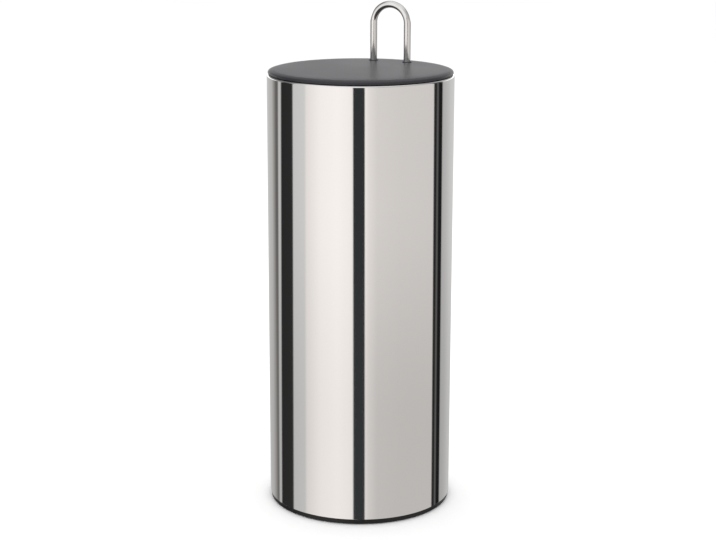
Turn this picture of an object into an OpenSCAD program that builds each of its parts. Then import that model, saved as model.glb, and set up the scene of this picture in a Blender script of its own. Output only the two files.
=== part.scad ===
// Free-standing canister for spare toilet rolls, in millimetres.
// A polished steel tube stands on a black base ring. Inside it a round platform holds
// the stack of rolls, at the foot of one bent wire whose loop is the handle. Lifting the
// loop brings out the platform, the rolls and the lid, and the lid slides up and down
// on the wire's two legs to let the rolls in and out.
// The origin is the centre of the base, on the surface that it stands on. +Z is up, and
// the wire stands at the back, on the +Y side.

/* [Tube] */
// Outside diameter of the steel tube
tube_d = 145; // [130:1:180]
// Height of the rolled rim above the floor
tube_top = 343; // [260:1:420]
// Thickness of the tube's sheet
tube_wall = 0.8; // [0.6:0.1:1]
// Radius of the rolled rim's bead
bead_r = 1.4; // [1.2:0.1:2]

/* [Floor pan] */
// Height of the pan's upper face above the floor
pan_z = 10; // [9:0.5:20]
// Thickness of the pan's sheet
pan_sheet = 0.8; // [0.6:0.1:1.2]
// Outer radius of the bend between the pan and its flange
pan_bend_r = 2.4; // [1.6:0.1:3]
// Radius of the circle that the pan's bead follows
pan_bead_at = 30; // [15:1:40]
// Radius of the bead's section
pan_bead_r = 3; // [2.4:0.1:4]
// Height of the bead above the pan
pan_bead_h = 1.2; // [0.6:0.1:1.6]

/* [Base ring] */
// Height of the black ring that shows below the steel
base_show = 4.5; // [3:0.1:6]
// How far the ring lies inside the tube's outer face
base_inset = 0.7; // [0:0.1:1]
// Radius of the ring's rounded lower edge
base_round_r = 1.2; // [0.8:0.1:2.4]
// Width of the ring from its outer face to its inner one
base_w = 8.3; // [7.5:0.1:14]
// Width of the upstand that the pan's flange is pressed on
upstand_w = 2.4; // [1.6:0.1:3]
// Height of the upstand
upstand_h = 3.4; // [2:0.1:3.6]
// Width of the rubber grip ring
grip_w = 3; // [2:0.1:3.4]
// Height of the grip ring
grip_h = 2; // [1.5:0.1:2.5]
// How far the grip ring stands below the base ring
grip_proud = 0.3; // [0.2:0.1:0.8]
// Distance of the grip ring's centre line from the tube's outer face
grip_inset = 5; // [4.4:0.1:6]
// Radius of the grip ring's lower edges
grip_round_r = 0.6; // [0.3:0.1:0.9]

/* [Wire] */
// Diameter of the wire
wire_d = 5.6; // [4:0.1:7]
// Distance between the centre lines of the two legs
leg_gap = 29.5; // [24:0.5:44]
// Distance of the legs' centre lines from the tube's outer face, at the back
wire_inset = 20; // [18.5:0.5:26.5]
// Height of the top of the loop above the lid
loop_rise = 47.7; // [40:0.1:80]
// Chamfer at the lower end of each leg
leg_chamfer = 0.6; // [0.2:0.1:1]
// Outer diameter of the stop collars on the legs
collar_d = 9.6; // [8.6:0.1:11]
// Height of the stop collars
collar_h = 8; // [4:0.5:14]
// Chamfer at both ends of a stop collar
collar_chamfer = 0.8; // [0.2:0.1:1]

/* [Platform] */
// Thickness of the platform's plate
plate_t = 2; // [1.6:0.1:3]
// Depth of the platform below its plate
skirt_h = 4.5; // [4.2:0.1:8]
// Height of the lip above the plate
lip_h = 3; // [1:0.1:6]
// Thickness of the lip
lip_t = 1.8; // [1.2:0.1:2.4]
// Thickness of the hoop below the plate, which holds the bumper
hoop_t = 3.5; // [2.8:0.1:5]
// Thickness of the ribs below the plate
rib_t = 1.6; // [1.2:0.1:2.4]
// Depth of the ribs below the plate
rib_h = 4; // [2:0.1:4.2]
// Number of straight ribs, and of vent slots between them
rib_count = 6; // [4:1:8]
// Radius of the dome that centres the lowest roll, where it meets the plate
dome_r = 17.5; // [14:0.5:19]
// Height of the dome
dome_h = 9; // [5:0.5:14]
// Thickness of the dome's shell
dome_t = 2; // [1.2:0.1:3]
// Distance from the outer ridge in to the middle of the vent slots
slot_inset = 12; // [10:0.5:16]
// Width of a vent slot
slot_w = 8; // [5:0.5:9]
// Angle that a vent slot's centre line spans
slot_angle = 28; // [16:1:34]
// Distance from a vent slot to the ring rib beside it
slot_margin = 2; // [1:0.5:3]
// Distance of the outer ridge, which the rolls stand on, from the edge of their space
ridge_inset = 9.2; // [7:0.1:11]
// Width of both ridges
ridge_w = 1.2; // [0.8:0.1:2]
// Height of both ridges
ridge_h = 0.6; // [0.4:0.1:1]
// Wall of the sockets that hold the legs
socket_wall = 2.8; // [2:0.1:3]
// Height of the sockets above the plate
socket_h = 8; // [5:0.5:14]
// Thickness of the sockets' floor
socket_floor = 2; // [1.5:0.1:3]
// Height and width of the flare at a socket's foot
socket_flare = 1.5; // [0.5:0.1:1.8]

/* [Bumper and feet] */
// How far the bumper stands out from the platform
bumper_out = 2.6; // [2.4:0.1:3.2]
// Radius of the bumper's rounded nose
bumper_nose_r = 2.1; // [1.8:0.1:2.3]
// Height of the bumper's neck, which sits in the groove
bumper_neck_h = 2.4; // [1.6:0.1:3]
// Depth of the groove
groove_d = 1.2; // [0.8:0.1:1.6]
// Distance of the middle of a foot from the tube's outer face
foot_inset = 19.5; // [18.5:0.5:24.5]
// Diameter of a foot
foot_d = 12; // [9:0.5:13]
// How far a foot reaches below the platform
foot_show = 2.2; // [1.5:0.1:4]
// How deep a foot sits in its cup
foot_sink = 2.5; // [1.5:0.1:3]
// Wall of the cups
cup_wall = 1.5; // [1.2:0.1:2]
// Radius of a foot's lower edge
foot_round_r = 0.8; // [0.4:0.1:1.2]

/* [Lid] */
// How far the lid's edge lies inside the tube's outer face
lid_inset = 0.8; // [0:0.1:2]
// Height of the lid's top above its lower edge
lid_h = 3.5; // [3.3:0.1:6]
// Width of the gently crowned band round the lid's flat middle
lid_crown_w = 13.8; // [12:0.1:21]
// Radius of the crown's curve, seen from the side
lid_crown_r = 170; // [160:5:400]
// Width of the steeper shoulder in that band's outer part
lid_shoulder_w = 5; // [4:0.1:6]
// Radius of the shoulder's curve, seen from the side
lid_shoulder_r = 13; // [10:0.5:16]
// Radius of the lid's rounded upper edge
lid_round_r = 1.6; // [1:0.1:1.8]
// Radius of its rounded lower edge
lid_under_r = 0.8; // [0.4:0.1:0.8]
// Thickness of the lid cap over its middle
cap_t = 2.2; // [1.6:0.1:2.4]
// Thickness of the ribs below the lid cap
cap_rib_t = 1.4; // [1:0.1:2]
// Depth of the ribs below the lid cap
cap_rib_h = 4; // [2:0.1:6]
// Number of straight ribs below the lid cap
cap_rib_count = 8; // [4:4:8]
// Radius of the lid cap's hub, where its ribs begin
hub_r = 10; // [6:0.5:16]
// How far the plug reaches below the lid's edge
plug_drop = 8.7; // [8:0.1:14]
// Wall of the plug
plug_wall = 2; // [1.6:0.1:3]
// Thickness of the plug's floor
plug_floor = 1.8; // [1.7:0.1:2.6]
// Radius of the plug's lower edge
plug_round_r = 1.2; // [0.5:0.1:1.6]
// Height of the soft ring round the plug
seal_h = 4.2; // [3.6:0.1:5]
// Distance from the lid's edge down to the soft ring
seal_drop = 0.8; // [0.4:0.1:1.4]
// Depth of the groove that the soft ring sits in
seal_groove = 0.8; // [0.5:0.1:1.2]
// How far the soft ring's band stands out from the plug
seal_band = 0.4; // [0.2:0.1:0.6]
// How far the soft ring's lips stand out from the plug
seal_reach = 1.8; // [1.4:0.1:2.2]
// Thickness of the lips
seal_lip_t = 1; // [0.6:0.1:1.2]
// Wall of the bushes that the legs slide in
bush_wall = 0.85; // [0.7:0.05:1.2]
// How far the bushes stand above the lid
bush_proud = 0.4; // [0:0.05:1.2]
// Diameter of the bushes' flange
bush_flange_d = 11.6; // [10.4:0.1:12.6]
// Thickness of the bushes' flange
bush_flange_t = 1; // [0.6:0.1:1.6]

/* [Fasteners] */
// Diameter of the screws' shanks
screw_d = 2.8; // [2:0.1:3]
// Head diameter of the screws in the legs
head_d = 5.6; // [4.8:0.1:6.4]
// Head height of the screws in the legs
head_h = 1.9; // [1.2:0.1:2.2]
// Length of the screws in the legs, below the head
leg_screw_len = 10; // [6:0.5:16]
// Diameter of the washers
washer_d = 7.8; // [7:0.1:8.2]
// Thickness of the washers
washer_t = 0.8; // [0.5:0.1:1]
// Distance of the lid screws from the tube's outer face
lid_screw_inset = 28.5; // [26.5:0.5:38]
// Number of lid screws
lid_screw_count = 4; // [3:1:6]
// Head diameter of the lid screws
lid_head_d = 6; // [5:0.1:7]
// Head height of the lid screws
lid_head_h = 1.6; // [1.2:0.1:1.6]
// Wall of the bosses that the lid screws go into
boss_wall = 2; // [1.4:0.1:3]
// Width of the cross recess in a screw head
cross_w = 0.7; // [0.5:0.1:1]
// Depth of the cross recess
cross_h = 1; // [0.5:0.1:1.2]

/* [Fits] */
// Gap between pieces that rest on each other and come apart
rest_gap = 0.3; // [0.2:0.05:0.5]
// Gap between a leg and the bush that slides on it
slide_gap = 0.35; // [0.2:0.05:0.5]
// Gap between the bumper and the rolled rim
bumper_gap = 0.6; // [0.4:0.1:1.2]
// Gap between the soft ring's lips and the rolled rim
seal_gap = 0.3; // [0.2:0.05:0.6]
// Gap between the plug and the lid cap's edge
plug_gap = 0.1; // [0.05:0.05:0.3]
// Gap between a screw's shank and the hole it passes through
screw_gap = 0.2; // [0.1:0.05:0.4]
// Gap between a washer or screw head and the recess it sits in
recess_gap = 0.3; // [0.1:0.05:0.5]

/* [Hidden] */

// Smoothness of round forms, and how far a cut runs past the face it opens
smooth = 128;
overrun = 1;
$fn = smooth;

// Tube and rim
tube_r = tube_d / 2;
tube_in_r = tube_r - tube_wall;
bead_z = tube_top - bead_r;
bead_at = tube_r - bead_r;
opening_r = tube_r - 2 * bead_r;

// Floor pan, base ring and grip ring
pan_r = tube_in_r;
pan_bend_at = pan_r - pan_bend_r;
pan_bend_z = pan_z - pan_bend_r;
base_r = tube_r - base_inset;
base_in_r = base_r - base_w;
upstand_r = pan_r - pan_sheet;
grip_in_r = tube_r - grip_inset - grip_w / 2;
grip_r = grip_in_r + grip_w;

// Platform, from the pan upwards
foot_z = pan_z + rest_gap;
skirt_z = foot_z + foot_show;
plate_z = skirt_z + skirt_h;
plate_mid_z = plate_z + plate_t / 2;
plate_top = plate_z + plate_t;
platform_r = opening_r - bumper_gap - bumper_out;
lip_in_r = platform_r - lip_t;
hoop_in_r = platform_r - hoop_t;
bumper_r = platform_r + bumper_out;
bumper_z = skirt_z + skirt_h / 2;
foot_at = tube_r - foot_inset;
foot_angles = [210, 330, 90];

// The rolls stand between the lip and the front of the legs
wire_r = wire_d / 2;
wire_back = tube_r - wire_inset;
leg_x = leg_gap / 2;
roll_y = (wire_back - wire_r - lip_in_r) / 2;
roll_space_r = (wire_back - wire_r + lip_in_r) / 2;
ridge_at = roll_space_r - ridge_inset;
slot_at = ridge_at - slot_inset;
dome_ball_r = (dome_r * dome_r + dome_h * dome_h) / (2 * dome_h);
dome_z = plate_top + dome_h - dome_ball_r;
hollow_ball_r = dome_ball_r - dome_t;
hollow_r = sqrt(hollow_ball_r * hollow_ball_r - (plate_z - dome_z) * (plate_z - dome_z));

// Feet of the legs, from the screw heads upwards
recess_h = recess_gap + head_h + washer_t;
washer_z = skirt_z + recess_h - washer_t;
leg_z = skirt_z + recess_h + socket_floor;
socket_r = wire_r + socket_wall;
recess_r = washer_d / 2 + recess_gap;

// Lid, from the rim upwards
lid_r = tube_r - lid_inset;
lid_flat_r = lid_r - lid_crown_w;
lid_z = tube_top + rest_gap;
lid_top = lid_z + lid_h;
cap_z = lid_top - cap_t;
cap_mid_z = cap_z + cap_t / 2;
plug_z = lid_z - plug_drop;
plug_r = opening_r - seal_gap - seal_reach;
plug_floor_top = plug_z + plug_floor;
seal_top = lid_z - seal_drop;
seal_z = seal_top - seal_h;
bush_in_r = wire_r + slide_gap;
bush_r = bush_in_r + bush_wall;
bush_z = plug_z - bush_flange_t;
lid_screw_at = tube_r - lid_screw_inset;
boss_r = screw_d / 2 + boss_wall;

// Loop, above the lid
loop_top = lid_top + loop_rise;
bend_z = loop_top - wire_r - leg_x;
collar_z = bush_z - rest_gap - collar_h;

// Rectangle of a revolved section, from one radius and height to another
module band(from_r, to_r, from_z, to_z) {
    translate([from_r, from_z])
        square([to_r - from_r, to_z - from_z]);
}

// The same rectangle with both lower corners rounded
module round_foot_band(from_r, to_r, from_z, to_z, round_r) {
    band(from_r + round_r, to_r - round_r, from_z, to_z);
    band(from_r, to_r, from_z + round_r, to_z);
    translate([from_r + round_r, from_z + round_r])
        circle(r = round_r);
    translate([to_r - round_r, from_z + round_r])
        circle(r = round_r);
}

// What follows, at each of the two legs
module at_legs() {
    for (side = [-1, 1])
        translate([side * leg_x, wire_back, 0])
            children();
}

// What follows, at each place of a ring about the axis
module around(count, at_r) {
    for (i = [0 : count - 1])
        rotate((i + 1 / 2) * 360 / count)
            translate([at_r, 0, 0])
                children();
}

// Cross recess cut upwards into the screw head that starts at this height
module cross_recess(from_z, head) {
    for (turn = [0, 90])
        rotate(turn)
            translate([-head / 3, -cross_w / 2, from_z - overrun])
                cube([head * 2 / 3, cross_w, cross_h + overrun]);
}

// Section of the rolled rim: the sheet curls inwards and ends at its lowest point
module rim_curl() {
    difference() {
        circle(r = bead_r);
        circle(r = bead_r - tube_wall);
        translate([0, -bead_r])
            square(bead_r);
    }
}

module canister_tube() {
    color("silver")
        rotate_extrude() {
            band(tube_in_r, tube_r, base_show, bead_z);
            translate([bead_at, bead_z])
                rim_curl();
        }
}

// Section of a sheet bent through a right angle
module sheet_bend(outer_r, sheet) {
    intersection() {
        difference() {
            circle(r = outer_r);
            circle(r = outer_r - sheet);
        }
        square(outer_r);
    }
}

module canister_floor() {
    color("gainsboro")
        rotate_extrude() {
            difference() {
                union() {
                    band(0, pan_bend_at, pan_z - pan_sheet, pan_z);
                    intersection() {
                        translate([pan_bead_at, pan_z + pan_bead_h - pan_bead_r])
                            circle(r = pan_bead_r);
                        band(0, pan_r, pan_z - pan_sheet, pan_z + pan_bead_h);
                    }
                }
                translate([pan_bead_at, pan_z + pan_bead_h - pan_bead_r])
                    circle(r = pan_bead_r - pan_sheet);
            }
            translate([pan_bend_at, pan_bend_z])
                sheet_bend(pan_bend_r, pan_sheet);
            band(pan_r - pan_sheet, pan_r, base_show, pan_bend_z);
        }
}

module base_ring() {
    color([0.1, 0.1, 0.1])
        rotate_extrude()
            difference() {
                union() {
                    band(base_in_r, base_r - base_round_r, grip_proud, base_show);
                    band(base_in_r, base_r, grip_proud + base_round_r, base_show);
                    translate([base_r - base_round_r, grip_proud + base_round_r])
                        circle(r = base_round_r);
                    band(upstand_r - upstand_w, upstand_r, base_show, base_show + upstand_h);
                }
                band(grip_in_r, grip_r, grip_proud - overrun, grip_h);
            }
}

module grip_ring() {
    color([0.2, 0.2, 0.2])
        rotate_extrude()
            round_foot_band(grip_in_r, grip_r, 0, grip_h, grip_round_r);
}

module wire_loop() {
    color("silver")
        difference() {
            union() {
                at_legs() {
                    translate([0, 0, leg_z])
                        cylinder(h = leg_chamfer, r1 = wire_r - leg_chamfer, r2 = wire_r);
                    translate([0, 0, leg_z + leg_chamfer])
                        cylinder(h = bend_z - leg_z - leg_chamfer, r = wire_r);
                }
                translate([0, wire_back, bend_z])
                    rotate([90, 0, 0])
                        rotate_extrude(angle = 180)
                            translate([leg_x, 0])
                                circle(r = wire_r);
            }
            // tapped holes for the screws
            at_legs()
                translate([0, 0, leg_z - overrun])
                    cylinder(h = leg_screw_len + overrun, d = screw_d);
        }
}

// Stop collar pressed on a leg: it lifts the lid when the wire is lifted
module stop_collar(side) {
    color("silver")
        translate([side * leg_x, wire_back, collar_z])
            rotate_extrude()
                difference() {
                    band(wire_r, collar_d / 2, 0, collar_h);
                    for (end_z = [0, collar_h])
                        translate([collar_d / 2, end_z])
                            rotate(45)
                                square(collar_chamfer * sqrt(2), center = true);
                }
}

// Straight ribs below the plate, between the vent slots
module platform_ribs() {
    intersection() {
        translate([0, roll_y, 0])
            for (i = [0 : rib_count - 1])
                rotate(i * 360 / rib_count)
                    translate([dome_r, -rib_t / 2, plate_z - rib_h])
                        cube([2 * platform_r, rib_t, rib_h + plate_t / 2]);
        cylinder(h = plate_top, r = (hoop_in_r + platform_r - groove_d) / 2);
    }
}

// Sections round the rolls' axis: the dome over its boss, the ring ribs below the plate
// and the ridges on it
module roll_sections() {
    band(0, dome_r + rib_t / 2, plate_z - rib_h, plate_mid_z);
    intersection() {
        translate([0, dome_z])
            circle(r = dome_ball_r);
        band(0, dome_ball_r, plate_mid_z, plate_top + dome_h);
    }
    for (side = [-1, 1]) {
        rib_at = slot_at + side * (slot_w / 2 + slot_margin);
        band(rib_at - rib_t / 2, rib_at + rib_t / 2, plate_z - rib_h, plate_mid_z);
    }
    for (mid_r = [dome_r + slot_margin + ridge_w, ridge_at])
        band(mid_r - ridge_w / 2, mid_r + ridge_w / 2, plate_mid_z, plate_top + ridge_h);
}

// Section of the dome's hollow, which runs down through its boss
module hollow_section() {
    band(0, hollow_r, plate_z - rib_h - overrun, plate_z);
    intersection() {
        translate([0, dome_z])
            circle(r = hollow_ball_r);
        band(0, hollow_ball_r, plate_z, plate_top + dome_h);
    }
}

// Vent slot on a circle round the rolls' axis, with round ends
module vent_slot() {
    translate([0, 0, plate_z - overrun])
        rotate(-slot_angle / 2) {
            rotate_extrude(angle = slot_angle)
                band(slot_at - slot_w / 2, slot_at + slot_w / 2, 0, plate_t + 2 * overrun);
            for (turn = [0, slot_angle])
                rotate(turn)
                    translate([slot_at, 0, 0])
                        cylinder(h = plate_t + 2 * overrun, d = slot_w);
        }
}

// Hoop, plate and lip in one revolved section, with the bumper's groove
module platform_dish() {
    rotate_extrude()
        difference() {
            union() {
                band(0, platform_r, plate_z, plate_top);
                band(hoop_in_r, platform_r, skirt_z, plate_z);
                band(lip_in_r, platform_r, plate_top, plate_top + lip_h - lip_t / 2);
                translate([platform_r - lip_t / 2, plate_top + lip_h - lip_t / 2])
                    circle(d = lip_t);
            }
            band(
                platform_r - groove_d, platform_r + overrun,
                bumper_z - bumper_neck_h / 2, bumper_z + bumper_neck_h / 2
            );
        }
}

// Sockets for the two legs, with a flare at the plate
module leg_sockets() {
    at_legs() {
        translate([0, 0, skirt_z])
            cylinder(h = plate_top + socket_h - socket_flare - skirt_z, r = socket_r);
        translate([0, 0, plate_top + socket_h - socket_flare])
            cylinder(h = socket_flare, r1 = socket_r, r2 = socket_r - socket_flare);
        translate([0, 0, plate_top])
            cylinder(h = socket_flare, r1 = socket_r + socket_flare, r2 = socket_r);
    }
}

module platform() {
    color("dimgray")
        difference() {
            union() {
                platform_dish();
                platform_ribs();
                translate([0, roll_y, 0])
                    rotate_extrude()
                        roll_sections();
                leg_sockets();
                for (turn = foot_angles)
                    rotate(turn)
                        translate([foot_at, 0, skirt_z])
                            cylinder(h = skirt_h + plate_t / 2, d = foot_d + 2 * cup_wall);
            }
            translate([0, roll_y, 0]) {
                rotate_extrude()
                    hollow_section();
                for (i = [0 : rib_count - 1])
                    rotate((i + 1 / 2) * 360 / rib_count)
                        vent_slot();
            }
            at_legs() {
                translate([0, 0, leg_z])
                    cylinder(h = plate_top + socket_h - leg_z + overrun, r = wire_r);
                translate([0, 0, skirt_z])
                    cylinder(h = leg_z - skirt_z + overrun, d = screw_d + 2 * screw_gap);
                translate([0, 0, skirt_z - overrun])
                    cylinder(h = recess_h + overrun, r = recess_r);
            }
            for (turn = foot_angles)
                rotate(turn)
                    translate([foot_at, 0, skirt_z - overrun])
                        cylinder(h = foot_sink + overrun, d = foot_d);
        }
}

module bumper_ring() {
    color([0.2, 0.2, 0.2])
        rotate_extrude() {
            band(
                platform_r - groove_d, platform_r,
                bumper_z - bumper_neck_h / 2, bumper_z + bumper_neck_h / 2
            );
            band(
                platform_r, bumper_r - bumper_nose_r,
                bumper_z - bumper_nose_r, bumper_z + bumper_nose_r
            );
            intersection() {
                translate([bumper_r - bumper_nose_r, bumper_z])
                    circle(r = bumper_nose_r);
                band(platform_r, bumper_r, skirt_z - overrun, plate_z + overrun);
            }
        }
}

module platform_foot(turn) {
    color([0.2, 0.2, 0.2])
        rotate(turn)
            translate([foot_at, 0, foot_z])
                rotate_extrude() {
                    band(0, foot_d / 2 - foot_round_r, 0, foot_show + foot_sink);
                    band(0, foot_d / 2, foot_round_r, foot_show + foot_sink);
                    translate([foot_d / 2 - foot_round_r, foot_round_r])
                        circle(r = foot_round_r);
                }
}

module leg_washers() {
    color("gainsboro")
        at_legs()
            translate([0, 0, washer_z])
                difference() {
                    cylinder(h = washer_t, d = washer_d);
                    translate([0, 0, -overrun])
                        cylinder(h = washer_t + 2 * overrun, d = screw_d + 2 * screw_gap);
                }
}

// Pan-head screws, driven up through washer and socket into the ends of the legs
module leg_screws() {
    color("gainsboro")
        at_legs()
            difference() {
                union() {
                    translate([0, 0, washer_z - head_h])
                        cylinder(h = head_h / 2, r1 = (head_d - head_h) / 2, r2 = head_d / 2);
                    translate([0, 0, washer_z - head_h / 2])
                        cylinder(h = head_h / 2, d = head_d);
                    translate([0, 0, washer_z])
                        cylinder(h = leg_screw_len, d = screw_d);
                }
                cross_recess(washer_z - head_h, head_d);
            }
}

// Outer section of the lid cap: a flat middle, a gentle crown, a shoulder, and an edge
// rounded above and below. Each arc runs on smoothly from the one before.
module lid_outline() {
    crown_end_r = lid_r - lid_shoulder_w;
    crown_tilt = asin((crown_end_r - lid_flat_r) / lid_crown_r);
    shoulder_at = crown_end_r - lid_shoulder_r * sin(crown_tilt);
    shoulder_z = lid_top - lid_crown_r + (lid_crown_r - lid_shoulder_r) * cos(crown_tilt);
    round_at = lid_r - lid_round_r;
    shoulder_tilt = asin((round_at - shoulder_at) / (lid_shoulder_r - lid_round_r));
    shoulder_end_r = shoulder_at + lid_shoulder_r * sin(shoulder_tilt);
    round_z = shoulder_z + (lid_shoulder_r - lid_round_r) * cos(shoulder_tilt);
    intersection() {
        union() {
            band(0, lid_flat_r, lid_z, lid_top);
            intersection() {
                translate([lid_flat_r, lid_top - lid_crown_r])
                    circle(r = lid_crown_r, $fn = smooth * 8);
                band(lid_flat_r, crown_end_r, lid_z, lid_top);
            }
            intersection() {
                translate([shoulder_at, shoulder_z])
                    circle(r = lid_shoulder_r, $fn = smooth * 2);
                band(crown_end_r, shoulder_end_r, lid_z, lid_top);
            }
            translate([round_at, round_z])
                circle(r = lid_round_r);
            band(round_at, lid_r, lid_z - overrun, round_z);
        }
        round_foot_band(-lid_r, lid_r, lid_z, lid_top, lid_under_r);
    }
}

// Ribs, hub and bosses below the lid cap
module cap_bracing() {
    intersection() {
        union() {
            for (i = [0 : cap_rib_count - 1])
                rotate(i * 360 / cap_rib_count)
                    translate([hub_r - cap_rib_t / 2, -cap_rib_t / 2, cap_z - cap_rib_h])
                        cube([plug_r, cap_rib_t, cap_rib_h + cap_t / 2]);
            rotate_extrude()
                for (mid_r = [hub_r - cap_rib_t / 2, lid_screw_at])
                    band(
                        mid_r - cap_rib_t / 2, mid_r + cap_rib_t / 2,
                        cap_z - cap_rib_h, cap_mid_z
                    );
        }
        cylinder(h = lid_top, r = plug_r - plug_wall);
    }
    at_legs()
        translate([0, 0, cap_z - cap_rib_h])
            cylinder(h = cap_rib_h + cap_t / 2, r = bush_r + cap_rib_t);
    around(lid_screw_count, lid_screw_at)
        translate([0, 0, plug_floor_top])
            cylinder(h = cap_mid_z - plug_floor_top, r = boss_r);
}

module lid_cap() {
    color([0.25, 0.25, 0.26])
        difference() {
            union() {
                rotate_extrude()
                    difference() {
                        lid_outline();
                        band(0, plug_r + plug_gap, lid_z - overrun, cap_z);
                    }
                cap_bracing();
            }
            at_legs()
                translate([0, 0, plug_z])
                    cylinder(h = lid_top - plug_z + overrun, r = bush_r);
            around(lid_screw_count, lid_screw_at)
                translate([0, 0, plug_z])
                    cylinder(h = cap_z - plug_z - screw_gap, d = screw_d);
        }
}

module lid_inner() {
    color([0.3, 0.3, 0.31])
        difference() {
            rotate_extrude()
                difference() {
                    union() {
                        band(0, plug_r - plug_round_r, plug_z, plug_floor_top);
                        band(plug_r - plug_wall, plug_r, plug_z + plug_round_r, cap_z);
                        translate([plug_r - plug_round_r, plug_z + plug_round_r])
                            circle(r = plug_round_r);
                    }
                    band(plug_r - seal_groove, plug_r + overrun, seal_z, seal_top);
                }
            at_legs()
                translate([0, 0, plug_z - overrun])
                    cylinder(h = plug_drop, r = bush_r);
            around(lid_screw_count, lid_screw_at) {
                translate([0, 0, plug_z - overrun])
                    cylinder(h = plug_drop, d = screw_d + 2 * screw_gap);
                translate([0, 0, plug_z])
                    cylinder(h = lid_head_h, d1 = lid_head_d, d2 = screw_d);
            }
        }
}

module lid_seal() {
    color([0.2, 0.2, 0.2])
        rotate_extrude() {
            band(plug_r - seal_groove, plug_r + seal_band, seal_z, seal_top);
            for (lip_z = [seal_z + seal_h / 4, seal_top - seal_h / 4]) {
                band(
                    plug_r, plug_r + seal_reach - seal_lip_t / 2,
                    lip_z - seal_lip_t / 2, lip_z + seal_lip_t / 2
                );
                translate([plug_r + seal_reach - seal_lip_t / 2, lip_z])
                    circle(d = seal_lip_t);
            }
        }
}

// Bush pressed up through the plug and the lid cap, with a round upper lip
module slide_bush(side) {
    lip_z = lid_top + bush_proud - bush_wall / 2;
    color([0.25, 0.25, 0.26])
        translate([side * leg_x, wire_back, 0])
            rotate_extrude() {
                band(bush_in_r, bush_flange_d / 2, bush_z, plug_z);
                band(bush_in_r, bush_r, plug_z, lip_z);
                translate([bush_in_r + bush_wall / 2, lip_z])
                    circle(d = bush_wall);
            }
}

// Countersunk screws, driven up through the plug into the lid cap's bosses
module lid_screws() {
    color("gainsboro")
        around(lid_screw_count, lid_screw_at)
            difference() {
                union() {
                    translate([0, 0, plug_z])
                        cylinder(h = lid_head_h, d1 = lid_head_d, d2 = screw_d);
                    translate([0, 0, plug_z + lid_head_h])
                        cylinder(h = cap_z - plug_z - lid_head_h - 2 * screw_gap, d = screw_d);
                }
                cross_recess(plug_z, lid_head_d);
            }
}

canister_tube();
canister_floor();
base_ring();
grip_ring();
wire_loop();
stop_collar(-1);  // collar_left
stop_collar(1);  // collar_right
platform();
bumper_ring();
platform_foot(foot_angles[0]);  // foot_left
platform_foot(foot_angles[1]);  // foot_right
platform_foot(foot_angles[2]);  // foot_rear
leg_washers();
leg_screws();
lid_cap();
lid_inner();
lid_seal();
slide_bush(-1);  // bush_left
slide_bush(1);  // bush_right
lid_screws();
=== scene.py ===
import math

import bmesh
import bpy
from mathutils import Matrix, Vector


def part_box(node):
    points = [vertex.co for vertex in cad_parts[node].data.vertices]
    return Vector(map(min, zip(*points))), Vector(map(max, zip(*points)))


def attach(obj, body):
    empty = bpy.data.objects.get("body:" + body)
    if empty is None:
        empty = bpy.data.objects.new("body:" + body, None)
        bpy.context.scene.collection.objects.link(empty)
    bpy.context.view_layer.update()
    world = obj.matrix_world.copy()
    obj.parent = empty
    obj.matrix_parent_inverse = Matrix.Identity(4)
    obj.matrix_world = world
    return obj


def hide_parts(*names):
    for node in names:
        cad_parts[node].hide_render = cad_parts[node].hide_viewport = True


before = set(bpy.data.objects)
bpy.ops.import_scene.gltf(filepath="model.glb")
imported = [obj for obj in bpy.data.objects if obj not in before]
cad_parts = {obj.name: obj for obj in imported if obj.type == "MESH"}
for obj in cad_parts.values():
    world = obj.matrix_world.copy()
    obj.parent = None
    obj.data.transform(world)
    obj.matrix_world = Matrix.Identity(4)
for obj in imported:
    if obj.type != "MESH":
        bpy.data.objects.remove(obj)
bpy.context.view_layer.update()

# Canister tube: one sheet of stainless steel, rolled up, welded and mirror-polished.
# Its upper edge is curled inwards into a bead, so that no cut edge shows, and its foot
# is pressed down over the floor pan.
tube_low, tube_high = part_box("canister_tube")
tube_r = tube_high.x
tube_sheet = 0.0008
bead_r = 0.0014
bead_at = tube_r - bead_r
bead_z = tube_high.z - bead_r
curl_r = bead_r - tube_sheet
cut_edge_r = 0.00015
tube_steps = 288
arc_steps = 8
weld_gap = 1e-6
crease = math.radians(32)
# Range that the clouds of a noise mostly keep to.
clouds_low = 0.3
clouds_high = 0.7


def rounded_outline(corners):
    """Outline in the XZ plane through (radius, height, rounding) corners. It is closed, unless
    it begins and ends on the axis."""
    bm = bmesh.new()
    verts = [bm.verts.new((radius, 0, height)) for radius, height, _ in corners]
    ends = list(zip(verts, verts[1:] + verts[:1]))
    if corners[0][0] == corners[-1][0] == 0:
        ends.pop()
    for start, end in ends:
        bm.edges.new((start, end))
    for vert, (_, _, rounding) in zip(verts, corners):
        if rounding:
            before, after = [(edge.other_vert(vert).co - vert.co) for edge in vert.link_edges]
            reach = rounding / math.tan(before.angle(after) / 2)
            bmesh.ops.bevel(
                bm, geom=[vert], offset=reach, offset_type="OFFSET", segments=arc_steps,
                profile=0.5, affect="VERTICES", material=-1,
            )
    return bm


def finished(bm, name):
    """Object of a bmesh, closed at its seams, smooth but for the edges sharper than crease."""
    bmesh.ops.remove_doubles(bm, verts=bm.verts, dist=weld_gap)
    bmesh.ops.recalc_face_normals(bm, faces=bm.faces)
    mesh = bpy.data.meshes.new(name)
    bm.to_mesh(mesh)
    bm.free()
    mesh.shade_smooth()
    mesh.set_sharp_from_angle(angle=crease)
    piece = bpy.data.objects.new(name, mesh)
    bpy.context.scene.collection.objects.link(piece)
    weighted = piece.modifiers.new("Weighted normals", "WEIGHTED_NORMAL")
    weighted.keep_sharp = True
    return piece


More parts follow.
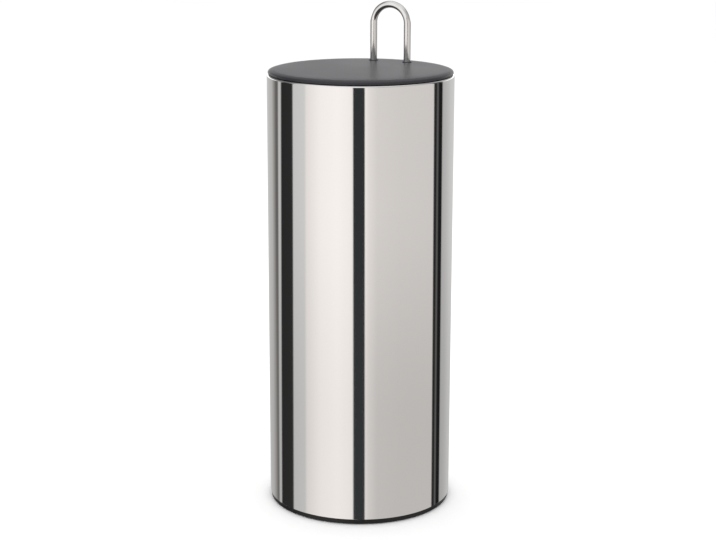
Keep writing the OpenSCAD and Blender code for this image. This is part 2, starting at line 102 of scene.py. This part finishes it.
def spun(name, corners, at=(0, 0), steps=tube_steps):
    """Round piece: the outline through the corners, turned about the upright axis at this place."""
    bm = rounded_outline(corners)
    bmesh.ops.spin(
        bm, geom=bm.verts[:] + bm.edges[:], cent=(0, 0, 0), axis=(0, 0, 1),
        angle=math.tau, steps=steps, use_merge=True,
    )
    bmesh.ops.translate(bm, verts=bm.verts, vec=(*at, 0))
    return finished(bm, name)


def new_finish(name, metallic, roughness):
    """Material with one Principled shader, and its shader."""
    material = bpy.data.materials.new(name)
    material.use_nodes = True
    shader = material.node_tree.nodes["Principled BSDF"]
    shader.inputs["Metallic"].default_value = metallic
    shader.inputs["Roughness"].default_value = roughness
    return material, shader


def cloudy(shader, cells, stretch=(1, 1, 1), detail=3):
    """Noise with this many cells to the metre, drawn out along the axes with a small stretch."""
    tree = shader.id_data
    place = tree.nodes.new("ShaderNodeTexCoord")
    mapping = tree.nodes.new("ShaderNodeMapping")
    noise = tree.nodes.new("ShaderNodeTexNoise")
    mapping.inputs["Scale"].default_value = stretch
    noise.inputs["Scale"].default_value = cells
    noise.inputs["Detail"].default_value = detail
    tree.links.new(place.outputs["Object"], mapping.inputs["Vector"])
    tree.links.new(mapping.outputs["Vector"], noise.inputs["Vector"])
    return noise.outputs["Fac"]


def tinted(shader, pattern, dark, light):
    """Base colour that runs from dark to light with the pattern."""
    tree = shader.id_data
    ramp = tree.nodes.new("ShaderNodeValToRGB")
    low, high = ramp.color_ramp.elements
    low.position = clouds_low
    low.color = (*dark, 1)
    high.position = clouds_high
    high.color = (*light, 1)
    tree.links.new(pattern, ramp.inputs["Fac"])
    tree.links.new(ramp.outputs["Color"], shader.inputs["Base Color"])


def roughened(shader, pattern, least, most):
    """Roughness that runs from least to most with the pattern."""
    tree = shader.id_data
    spread = tree.nodes.new("ShaderNodeMapRange")
    spread.inputs["From Min"].default_value = clouds_low
    spread.inputs["From Max"].default_value = clouds_high
    spread.inputs["To Min"].default_value = least
    spread.inputs["To Max"].default_value = most
    tree.links.new(pattern, spread.inputs["Value"])
    tree.links.new(spread.outputs["Result"], shader.inputs["Roughness"])


def embossed(shader, pattern, depth):
    """Surface relief that follows the pattern, this deep in metres."""
    tree = shader.id_data
    bump = tree.nodes.new("ShaderNodeBump")
    bump.inputs["Distance"].default_value = depth
    tree.links.new(pattern, bump.inputs["Height"])
    tree.links.new(bump.outputs["Normal"], shader.inputs["Normal"])


def polished_steel():
    """Mirror finish, with the faint upright lines that polishing the tube leaves."""
    material, shader = new_finish("polished_steel", 1, 0.05)
    clouds = cloudy(shader, 9, (1, 1, 0.35), detail=2)
    tinted(shader, clouds, (0.672, 0.668, 0.66), (0.69, 0.686, 0.678))
    roughened(shader, clouds, 0.035, 0.06)
    embossed(shader, cloudy(shader, 700, (1, 1, 0.01), detail=2), 0.0000008)
    return material


def satin_steel():
    """Dull steel as it comes from the mill, with a fine even grain."""
    material, shader = new_finish("satin_steel", 1, 0.5)
    clouds = cloudy(shader, 40)
    tinted(shader, clouds, (0.58, 0.58, 0.57), (0.64, 0.64, 0.63))
    roughened(shader, clouds, 0.46, 0.56)
    embossed(shader, cloudy(shader, 2400), 0.00001)
    return material


def dress(piece, material, body, node):
    """The piece gets its finish, rides on its body and stands for this node."""
    piece.data.materials.append(material)
    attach(piece, body)
    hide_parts(node)


steel = polished_steel()
tube = spun("tube_shell", [
    (tube_r, tube_low.z, cut_edge_r),
    (tube_r, tube_high.z, bead_r),
    (tube_r - 2 * bead_r, tube_high.z, bead_r),
    (tube_r - 2 * bead_r, bead_z - bead_r, bead_r),
    (bead_at, bead_z - bead_r, 0),
    (bead_at, bead_z - curl_r, 0),
    (bead_at - curl_r, bead_z - curl_r, curl_r),
    (bead_at - curl_r, bead_z + curl_r, curl_r),
    (bead_at + curl_r, bead_z + curl_r, curl_r),
    (bead_at + curl_r, tube_low.z, cut_edge_r),
])
dress(tube, steel, "canister", "canister_tube")
# The inside isn't polished.
bare_steel = satin_steel()
tube.data.materials.append(bare_steel)
for face in tube.data.polygons:
    within = face.center.xy.length < tube_r - tube_sheet / 2
    face.material_index = int(within and face.center.z < bead_z - bead_r)

# Floor pan: a disc of sheet steel pressed into a shallow pan, with a round bead that
# stiffens it and a flange that the tube closes on. It keeps the dull grey of the sheet.
pan_low, pan_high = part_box("canister_floor")
pan_sheet = 0.0008
pan_bend_r = 0.0024
pan_bead_at = 0.03
pan_bead_w = 0.0048
pan_bead_h = 0.0012
pan_z = pan_high.z - pan_bead_h

pan = spun("floor_pan", [
    (0, pan_z, 0),
    (pan_bead_at - pan_bead_w / 2, pan_z, pan_bead_h),
    (pan_bead_at - pan_bead_w / 4, pan_high.z, pan_bead_h),
    (pan_bead_at + pan_bead_w / 4, pan_high.z, pan_bead_h),
    (pan_bead_at + pan_bead_w / 2, pan_z, pan_bead_h),
    (pan_high.x, pan_z, pan_bend_r),
    (pan_high.x, pan_low.z, cut_edge_r),
    (pan_high.x - pan_sheet, pan_low.z, cut_edge_r),
    (pan_high.x - pan_sheet, pan_z - pan_sheet, pan_bend_r - pan_sheet),
    (pan_bead_at + pan_bead_w / 2, pan_z - pan_sheet, 0),
    (pan_bead_at, pan_high.z - pan_sheet, pan_bead_h),
    (pan_bead_at - pan_bead_w / 2, pan_z - pan_sheet, 0),
    (0, pan_z - pan_sheet, 0),
])
dress(pan, bare_steel, "canister", "canister_floor")

# Base ring: a black moulded ring pressed into the foot of the pan. It shows as the dark
# line below the steel, and a groove in its underside holds the grip ring.
base_low, base_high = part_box("base_ring")
base_r = base_high.x
base_w = 0.0083
base_in_r = base_r - base_w
base_show_z = tube_low.z
base_round_r = 0.0012
upstand_r = pan_high.x - pan_sheet
upstand_w = 0.0024
groove_w = 0.003
grip_inset = 0.005
groove_mid_r = tube_r - grip_inset
groove_top_z = 0.002
moulded_edge_r = 0.0003


def black_plastic():
    """Satin black moulding."""
    material, shader = new_finish("black_plastic", 0, 0.4)
    clouds = cloudy(shader, 60)
    tinted(shader, clouds, (0.006, 0.006, 0.006), (0.009, 0.009, 0.009))
    roughened(shader, clouds, 0.36, 0.46)
    shader.inputs["Specular IOR Level"].default_value = 0.25
    embossed(shader, cloudy(shader, 2600), 0.000012)
    return material


black = black_plastic()
base = spun("base_moulding", [
    (base_in_r, base_low.z, moulded_edge_r),
    (groove_mid_r - groove_w / 2, base_low.z, moulded_edge_r),
    (groove_mid_r - groove_w / 2, groove_top_z, 0),
    (groove_mid_r + groove_w / 2, groove_top_z, 0),
    (groove_mid_r + groove_w / 2, base_low.z, moulded_edge_r),
    (base_r, base_low.z, base_round_r),
    (base_r, base_show_z, moulded_edge_r),
    (upstand_r, base_show_z, 0),
    (upstand_r, base_high.z, moulded_edge_r),
    (upstand_r - upstand_w, base_high.z, moulded_edge_r),
    (upstand_r - upstand_w, base_show_z, 0),
    (base_in_r, base_show_z, moulded_edge_r),
])
dress(base, black, "canister", "base_ring")

# Grip ring: a flat ring of soft rubber in the base ring's groove. It stands a little
# proud, and the whole canister rests on it.
grip_low, grip_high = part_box("grip_ring")
grip_round_r = 0.0006


def soft_rubber():
    """Dull dark rubber with a faint bloom."""
    material, shader = new_finish("soft_rubber", 0, 0.7)
    clouds = cloudy(shader, 90)
    tinted(shader, clouds, (0.026, 0.026, 0.027), (0.036, 0.036, 0.037))
    roughened(shader, clouds, 0.62, 0.78)
    embossed(shader, cloudy(shader, 1800), 0.00002)
    return material


rubber = soft_rubber()
grip = spun("grip_cord", [
    (grip_high.x - groove_w, grip_low.z, grip_round_r),
    (grip_high.x, grip_low.z, grip_round_r),
    (grip_high.x, grip_high.z, 0),
    (grip_high.x - groove_w, grip_high.z, 0),
])
dress(grip, rubber, "canister", "grip_ring")

# Wire: one length of round stainless wire, polished and bent to a half circle in the
# middle. Each end is chamfered and tapped for the screw that holds it in the platform.
wire_low, wire_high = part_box("wire_loop")
wire_back = (wire_low.y + wire_high.y) / 2
wire_r = (wire_high.y - wire_low.y) / 2
leg_x = wire_high.x - wire_r
bend_z = wire_high.z - wire_r - leg_x
leg_chamfer = 0.0006
tapped_r = 0.0014
tapped_h = 0.01
wire_sides = 48
bend_steps = 40


def polished_wire():
    """Bright drawn wire: less even than the tube, with fine upright lines."""
    material, shader = new_finish("polished_wire", 1, 0.1)
    clouds = cloudy(shader, 160, (1, 1, 0.15), detail=2)
    tinted(shader, clouds, (0.62, 0.615, 0.605), (0.68, 0.675, 0.665))
    roughened(shader, clouds, 0.07, 0.14)
    embossed(shader, cloudy(shader, 2600, (1, 1, 0.02)), 0.000004)
    return material


def drawn_up(bm, rim, height):
    """The rim of edges, extruded straight up by this height; the new rim."""
    made = bmesh.ops.extrude_edge_only(bm, edges=rim)["geom"]
    bmesh.ops.translate(
        bm, verts=[v for v in made if isinstance(v, bmesh.types.BMVert)], vec=(0, 0, height)
    )
    return [e for e in made if isinstance(e, bmesh.types.BMEdge)]


bm = bmesh.new()
bmesh.ops.create_circle(bm, cap_ends=True, segments=wire_sides, radius=wire_r - leg_chamfer)
bmesh.ops.translate(bm, verts=bm.verts, vec=(-leg_x, wire_back, wire_low.z))
end_face = bm.faces[:][0]
rim = list(end_face.edges)
bmesh.ops.inset_region(bm, faces=[end_face], thickness=wire_r - leg_chamfer - tapped_r)
bmesh.ops.translate(
    bm, verts=bmesh.ops.extrude_discrete_faces(bm, faces=[end_face])["faces"][0].verts,
    vec=(0, 0, tapped_h),
)
rim = drawn_up(bm, rim, leg_chamfer)
leg_ring = {v for e in rim for v in e.verts}
flare = wire_r / (wire_r - leg_chamfer)
bmesh.ops.scale(
    bm, verts=list(leg_ring), vec=(flare, flare, 1),
    space=Matrix.Translation((leg_x, -wire_back, 0)),
)
rim = drawn_up(bm, rim, bend_z - wire_low.z - leg_chamfer)
bmesh.ops.spin(
    bm, geom=rim, cent=(0, wire_back, bend_z), axis=(0, 1, 0),
    angle=math.pi / 2, steps=bend_steps,
)
bmesh.ops.mirror(
    bm, geom=bm.verts[:] + bm.edges[:] + bm.faces[:], axis="X", merge_dist=weld_gap,
)
wire = finished(bm, "wire")
dress(wire, polished_wire(), "carrier", "wire_loop")

# Stop collars: two short turned sleeves pressed on the legs. The lid's bushes rest on
# them when the carrier is lifted, and they are hidden inside the canister otherwise.
collar_chamfer = 0.0008
turned_edge_r = 0.00012
small_steps = 96


def turned_steel():
    """Bright turned steel, with the fine rings that the tool leaves round each sleeve."""
    material, shader = new_finish("turned_steel", 1, 0.22)
    clouds = cloudy(shader, 120)
    tinted(shader, clouds, (0.55, 0.55, 0.54), (0.62, 0.62, 0.61))
    roughened(shader, clouds, 0.18, 0.27)
    embossed(shader, cloudy(shader, 5000, (0.02, 0.02, 1), detail=1), 0.00001)
    return material


turned = turned_steel()
for side, node in ((-1, "collar_left"), (1, "collar_right")):
    low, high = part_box(node)
    outer_r = (high.x - low.x) / 2
    collar = spun(node + "_sleeve", [
        (wire_r, low.z, 0),
        (outer_r - collar_chamfer, low.z, turned_edge_r),
        (outer_r, low.z + collar_chamfer, turned_edge_r),
        (outer_r, high.z - collar_chamfer, turned_edge_r),
        (outer_r - collar_chamfer, high.z, turned_edge_r),
        (wire_r, high.z, 0),
    ], at=(side * leg_x, wire_back), steps=small_steps)
    dress(collar, turned, "carrier", node)

# Platform: one grey moulding that the rolls stand on. Below its plate it has a hoop and
# ribs, between them vent slots, and it has a dome for the lowest roll's core and sockets
# for the legs. Its shape is the frame's own, and it gets the grain of the mould.


def grey_plastic():
    """Mid grey moulding with the fine spark-eroded grain of its mould."""
    material, shader = new_finish("grey_plastic", 0, 0.5)
    clouds = cloudy(shader, 30)
    tinted(shader, clouds, (0.17, 0.17, 0.176), (0.2, 0.2, 0.207))
    roughened(shader, clouds, 0.46, 0.56)
    embossed(shader, cloudy(shader, 2200), 0.00002)
    return material


def redress(node, material):
    """A piece whose shape is right keeps it, and gets this finish."""
    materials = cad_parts[node].data.materials
    materials.clear()
    materials.append(material)


grey = grey_plastic()
redress("platform", grey)

# Bumper ring and feet: soft rubber. The ring's neck snaps into the hoop's groove and its
# round nose keeps the platform off the tube's wall; the feet are pressed into cups.
bumper_low, bumper_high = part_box("bumper_ring")
bumper_r = bumper_high.x
bumper_nose_r = (bumper_high.z - bumper_low.z) / 2
bumper_mid_z = (bumper_low.z + bumper_high.z) / 2
neck_h = 0.0024
neck_w = 0.0012
hoop_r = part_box("platform")[1].x
foot_round_r = 0.0008
bumper = spun("bumper", [
    (hoop_r - neck_w, bumper_mid_z - neck_h / 2, 0),
    (hoop_r, bumper_mid_z - neck_h / 2, 0),
    (hoop_r, bumper_low.z, 0),
    (bumper_r, bumper_low.z, bumper_nose_r),
    (bumper_r, bumper_high.z, bumper_nose_r),
    (hoop_r, bumper_high.z, 0),
    (hoop_r, bumper_mid_z + neck_h / 2, 0),
    (hoop_r - neck_w, bumper_mid_z + neck_h / 2, 0),
])
dress(bumper, rubber, "carrier", "bumper_ring")
for node in ("foot_left", "foot_right", "foot_rear"):
    low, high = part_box(node)
    middle = (low + high) / 2
    foot_r = (high.x - low.x) / 2
    foot = spun(node + "_pad", [
        (0, low.z, 0),
        (foot_r, low.z, foot_round_r),
        (foot_r, high.z, 0),
        (0, high.z, 0),
    ], at=(middle.x, middle.y), steps=small_steps)
    dress(foot, rubber, "carrier", node)

# Fasteners: two plain washers, pan-head screws driven up through them into the tapped
# ends of the wire, and the screws that hold the plug to the cap. They are zinc-plated.


def zinc_plate():
    """Zinc-plated steel with the faint yellow and blue of the plating."""
    material, shader = new_finish("zinc_plate", 1, 0.3)
    clouds = cloudy(shader, 300)
    tinted(shader, clouds, (0.52, 0.53, 0.56), (0.6, 0.585, 0.53))
    roughened(shader, clouds, 0.24, 0.38)
    embossed(shader, cloudy(shader, 3000), 0.000008)
    return material


zinc = zinc_plate()
for node in ("leg_washers", "leg_screws", "lid_screws"):
    redress(node, zinc)

# Lid: a charcoal cap moulded with a rounded edge, and under it a grey plug that centres
# it in the rim. The cap's upper face has the fine matte grain of its mould.


def lid_plastic():
    """Charcoal moulding: dark in itself, and pale where it is seen at a low angle."""
    material, shader = new_finish("lid_plastic", 0, 0.38)
    clouds = cloudy(shader, 14, detail=2)
    tinted(shader, clouds, (0.022, 0.022, 0.027), (0.026, 0.026, 0.031))
    roughened(shader, clouds, 0.36, 0.4)
    shader.inputs["Specular IOR Level"].default_value = 0.246
    embossed(shader, cloudy(shader, 2400), 0.00001)
    return material


charcoal = lid_plastic()
redress("lid_cap", charcoal)
redress("lid_inner", grey)

# Lid seal: a soft ring in the plug's groove, with two thin lips that steady the lid in
# the rim without a click.
seal_low, seal_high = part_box("lid_seal")
seal_groove = 0.0008
seal_band = 0.0004
seal_reach = 0.0018
lip_t = 0.001
plug_r = seal_high.x - seal_reach
seal_h = seal_high.z - seal_low.z
seal_corners = [(plug_r - seal_groove, seal_low.z, 0), (plug_r + seal_band, seal_low.z, 0)]
for lip_z in (seal_low.z + seal_h / 4, seal_high.z - seal_h / 4):
    seal_corners += [
        (plug_r + seal_band, lip_z - lip_t / 2, 0),
        (plug_r + seal_reach, lip_z - lip_t / 2, lip_t / 2),
        (plug_r + seal_reach, lip_z + lip_t / 2, lip_t / 2),
        (plug_r + seal_band, lip_z + lip_t / 2, 0),
    ]
seal_corners += [(plug_r + seal_band, seal_high.z, 0), (plug_r - seal_groove, seal_high.z, 0)]
seal = spun("seal", seal_corners)
dress(seal, rubber, "lid", "lid_seal")

# Bushes: two charcoal sleeves pressed up through plug and cap, which the legs slide in.
# A flange below keeps them in, and their rounded upper ends stand out round the wire.
slide_gap = 0.00035
bush_in_r = wire_r + slide_gap
bush_wall = 0.00085
flange_h = 0.001
for side, node in ((-1, "bush_left"), (1, "bush_right")):
    low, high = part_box(node)
    flange_r = (high.x - low.x) / 2
    bush = spun(node + "_sleeve", [
        (bush_in_r, low.z, moulded_edge_r),
        (flange_r, low.z, moulded_edge_r),
        (flange_r, low.z + flange_h, 0),
        (bush_in_r + bush_wall, low.z + flange_h, 0),
        (bush_in_r + bush_wall, high.z, bush_wall / 2),
        (bush_in_r, high.z, bush_wall / 2),
    ], at=(side * leg_x, wire_back), steps=small_steps)
    dress(bush, charcoal, "lid", node)

# Camera: as the photograph was taken, from the front and somewhat to the right, from
# above the lid and with a long lens.
photo_w = 716
focal_px = 1736.8
sensor_w = 36
sight_limit = 100
camera_turn = math.radians(26.7)
camera_pitch = math.radians(13.91)
camera_roll = math.radians(0.14)
camera_out = 1.3374
camera_side = -0.0017
camera_z = 0.5179
towards = Vector((math.sin(camera_turn), -math.cos(camera_turn), 0))
across = Vector((math.cos(camera_turn), math.sin(camera_turn), 0))
upright = Vector((0, 0, 1))
sight = -towards * math.cos(camera_pitch) - upright * math.sin(camera_pitch)
up = upright * math.cos(camera_pitch) - towards * math.sin(camera_pitch)
right_roll = across * math.cos(camera_roll) + up * math.sin(camera_roll)
up_roll = up * math.cos(camera_roll) - across * math.sin(camera_roll)
camera_data = bpy.data.cameras.new("camera")
camera_data.sensor_width = sensor_w
camera_data.lens = focal_px * sensor_w / photo_w
camera_data.clip_end = sight_limit
camera = bpy.data.objects.new("camera", camera_data)
bpy.context.scene.collection.objects.link(camera)
camera.matrix_world = (
    Matrix.Translation(towards * camera_out + across * camera_side + upright * camera_z)
    @ Matrix((right_roll, up_roll, -sight)).transposed().to_4x4()
)
bpy.context.scene.camera = camera

# Studio: white all round, with the panels, walls and black flags that the polished steel
# mirrors.
warm = (1, 0.955, 0.93)
plain = (1, 0.995, 0.985)
cool = (0.86, 0.94, 1)
# Each row is a direction round the object, in degrees from the camera and to the right,
# the light that comes from there, its tint, and how fast the light falls off towards the
# floor.
studio_plan = [
    (-180, 0.7, plain, 0.5), (-140, 0.6, plain, 0.5),
    (-134, 0.42, warm, 0), (-127, 0.17, warm, -1), (-122.5, 0.17, warm, -1),
    (-119.5, 0.7, plain, 0.7), (-114.5, 0.7, plain, 0.7),
    (-113.5, 0.03, plain, 0), (-91.7, 0.035, plain, 0), (-90, 0.8, plain, 0.65),
    (-72.5, 0.86, plain, 0.65), (-69, 1.1, warm, 0.55), (-50, 1.3, warm, 0.5),
    (-28, 1.36, warm, 0.45), (-13, 1.29, warm, 0.45), (-9.5, 1.2, warm, 0.35),
    (-8.5, 0.047, cool, -0.4), (4.8, 0.047, cool, -0.4), (5.6, 1.25, warm, 0.8),
    (9, 1.09, warm, 0.8), (20, 0.945, warm, 0.9), (50, 0.9, warm, 0.85),
    (100.3, 0.87, warm, 0.75),
    (101.4, 0.025, plain, 0), (105.6, 0.025, plain, 0), (107.4, 0.14, plain, 0),
    (109.5, 0.13, plain, 0), (111.3, 0.015, plain, 0), (118.7, 0.015, plain, 0),
    (119.8, 0.58, plain, 0.6), (145, 0.74, plain, 0.7), (180, 0.66, plain, 0.9),
]
# Heights of the rays that the tube mirrors at its rim and at its foot, and the shares of
# the way down from one to the other between which the light falls off.
plan_rim_dz = -0.139
plan_foot_dz = -0.366
plan_fade = (0.25, 0.85)
# How far each direction's edge has wandered to the right at the foot of the tube.
plan_wander = [
    (-180, -8), (-150, -6), (-134, -3.6), (-124, -5), (-116, -5.7), (-112, -5.5),
    (-93, -2.6), (-50, -1), (0, 1.5), (60, 3), (100, 5), (118, 4.9), (180, 8.8),
]
# Degrees of wander that the whole height of the curve below stands for.
wander_span = 20
# The upper walls, above the panels.
upper_plan = [
    (-180, 0.5), (-162, 0.4), (-145, 0.2), (-105, 0.2), (-90, 0.75), (-70, 1.1),
    (-50, 1.25), (-12, 1.2), (8, 0.95), (28, 0.62), (92, 0.62), (103, 0.3), (118, 0.3),
    (128, 0.6), (150, 0.6), (180, 0.5),
]
# Light of the backdrop and of the ceiling as the steel mirrors them, of the studio as
# matte surfaces get it straight and by way of the steel, and of the page behind it all.
backdrop_light = 1.6
overhead_light = 1.05
soft_light = 1.15
thrown_light = 1.6
page_light = 1.2
# Where one part of the studio blends into the next: heights of the ray, and for the
# backdrop also how straight it goes behind the object.
backdrop_side = (0.4, 0.7)
backdrop_foot = (-0.05, 0)
panel_top = (0.14, 0.24)
ceiling_edge = (0.65, 0.9)
world = bpy.data.worlds.new("studio")
world.use_nodes = True
tree = world.node_tree
tree.nodes.clear()


def fed(node, *values):
    """The node, its first inputs fed by these numbers, vectors, colours and outputs."""
    for socket, value in zip([s for s in node.inputs if s.enabled], values):
        if isinstance(value, bpy.types.NodeSocket):
            tree.links.new(value, socket)
        else:
            socket.default_value = value
    return node


def reckoned(operation, *values):
    """Result of this sum."""
    node = tree.nodes.new("ShaderNodeMath")
    node.operation = operation
    return fed(node, *values).outputs["Value"]


def along(axis):
    """Cosine of the angle between the ray and this axis."""
    node = tree.nodes.new("ShaderNodeVectorMath")
    node.operation = "DOT_PRODUCT"
    return fed(node, direction, axis).outputs["Value"]


def faded(value, low, high):
    """0 below low, 1 above high, and smooth in between."""
    node = tree.nodes.new("ShaderNodeMapRange")
    node.interpolation_type = "SMOOTHSTEP"
    return fed(node, value, low, high, 0, 1).outputs["Result"]


def either(factor, first, second):
    """First colour where the factor is 0, second where it is 1."""
    node = tree.nodes.new("ShaderNodeMix")
    node.data_type = "RGBA"
    return next(s for s in fed(node, factor, first, second).outputs if s.enabled)


def white(light):
    """Colour of white light this strong."""
    return (light, light, light, 1)


def share(degrees):
    """Where this direction lies on a ramp or curve round the object, from 0 to 1."""
    return degrees / 360 + 0.5


def round_turn(turn, rows):
    """Ramp round the object whose stops are (degrees, colour) rows."""
    ramp = tree.nodes.new("ShaderNodeValToRGB")
    stops = ramp.color_ramp.elements
    stops.remove(stops[-1])
    for index, (degrees, colour) in enumerate(rows):
        stop = stops[0] if index == 0 else stops.new(share(degrees))
        stop.position = share(degrees)
        stop.color = colour
    return fed(ramp, turn)


direction = tree.nodes.new("ShaderNodeTexCoord").outputs["Generated"]
height = along(upright)
turn = reckoned("ARCTAN2", along(across), along(towards))
turn = reckoned("MULTIPLY_ADD", turn, 1 / math.tau, 0.5)
depth = reckoned("SUBTRACT", plan_rim_dz, height)
depth = reckoned("DIVIDE", depth, plan_rim_dz - plan_foot_dz)
wander = tree.nodes.new("ShaderNodeFloatCurve")
points = wander.mapping.curves[0].points
for index, (degrees, moved) in enumerate(plan_wander):
    spot = (share(degrees), moved / wander_span + 0.5)
    if index in (0, len(plan_wander) - 1):
        points[0 if index == 0 else -1].location = spot
    else:
        points.new(*spot)
for point in points:
    point.handle_type = "VECTOR"
wander.mapping.update()
shift = reckoned("SUBTRACT", fed(wander, 1, turn).outputs["Value"], 0.5)
shift = reckoned("MULTIPLY", reckoned("MULTIPLY", shift, wander_span / 360), depth)
settled = reckoned("SUBTRACT", turn, shift)
plan = round_turn(settled, [
    (degrees, (*(light * part for part in tint), dimming + 1))
    for degrees, light, tint, dimming in studio_plan
])
below = faded(depth, *plan_fade)
dimming = reckoned("SUBTRACT", plan.outputs["Alpha"], 1)
dimming = reckoned("MULTIPLY", dimming, plan_foot_dz - plan_rim_dz)
mirrored = tree.nodes.new("ShaderNodeVectorMath")
mirrored.operation = "SCALE"
tree.links.new(plan.outputs["Color"], mirrored.inputs["Vector"])
tree.links.new(reckoned("MULTIPLY_ADD", below, dimming, 1), mirrored.inputs["Scale"])
upper = round_turn(turn, [(degrees, white(light)) for degrees, light in upper_plan])
behind = faded(along(-towards), *backdrop_side)
behind = reckoned("MULTIPLY", behind, faded(height, *backdrop_foot))
seen = either(behind, mirrored.outputs["Vector"], white(backdrop_light))
seen = either(faded(height, *panel_top), seen, upper.outputs["Color"])
seen = either(faded(height, *ceiling_edge), seen, white(overhead_light))
path = tree.nodes.new("ShaderNodeLightPath")
# Light that the steel throws on to the floor and the lid comes from the whole studio.
thrown = reckoned("GREATER_THAN", path.outputs["Diffuse Depth"], 0.5)
seen = either(thrown, seen, white(thrown_light))
seen = either(path.outputs["Is Glossy Ray"], white(soft_light), seen)
seen = either(path.outputs["Is Camera Ray"], seen, white(page_light))
background = fed(tree.nodes.new("ShaderNodeBackground"), seen)
fed(tree.nodes.new("ShaderNodeOutputWorld"), background.outputs["Background"])
bpy.context.scene.world = world
bpy.context.scene.view_settings.view_transform = "Standard"

# Overhead softbox: it lights the lid from above, and throws a faint soft shadow of the
# canister on the floor. The steel doesn't mirror it.
softbox_w = 1.4
softbox_power = 9
softbox_at = (-0.2, 0.3, 1.9)
softbox_data = bpy.data.lights.new("softbox", "AREA")
softbox_data.size = softbox_w
softbox_data.energy = softbox_power
softbox = bpy.data.objects.new("softbox", softbox_data)
softbox.location = softbox_at
softbox.visible_glossy = False
bpy.context.scene.collection.objects.link(softbox)

# Floor: a plain white sweep that the canister stands on. It is left out of mirrored
# light, where the studio plan stands for it.
floor_half = 12
bm = bmesh.new()
bmesh.ops.create_grid(bm, x_segments=1, y_segments=1, size=floor_half)
floor = finished(bm, "floor")
floor.modifiers.clear()
sweep, shader = new_finish("white_sweep", 0, 1)
tinted(shader, cloudy(shader, 3), (0.86, 0.86, 0.86), (0.88, 0.88, 0.88))
shader.inputs["Specular IOR Level"].default_value = 0
floor.data.materials.append(sweep)
floor.visible_glossy = False
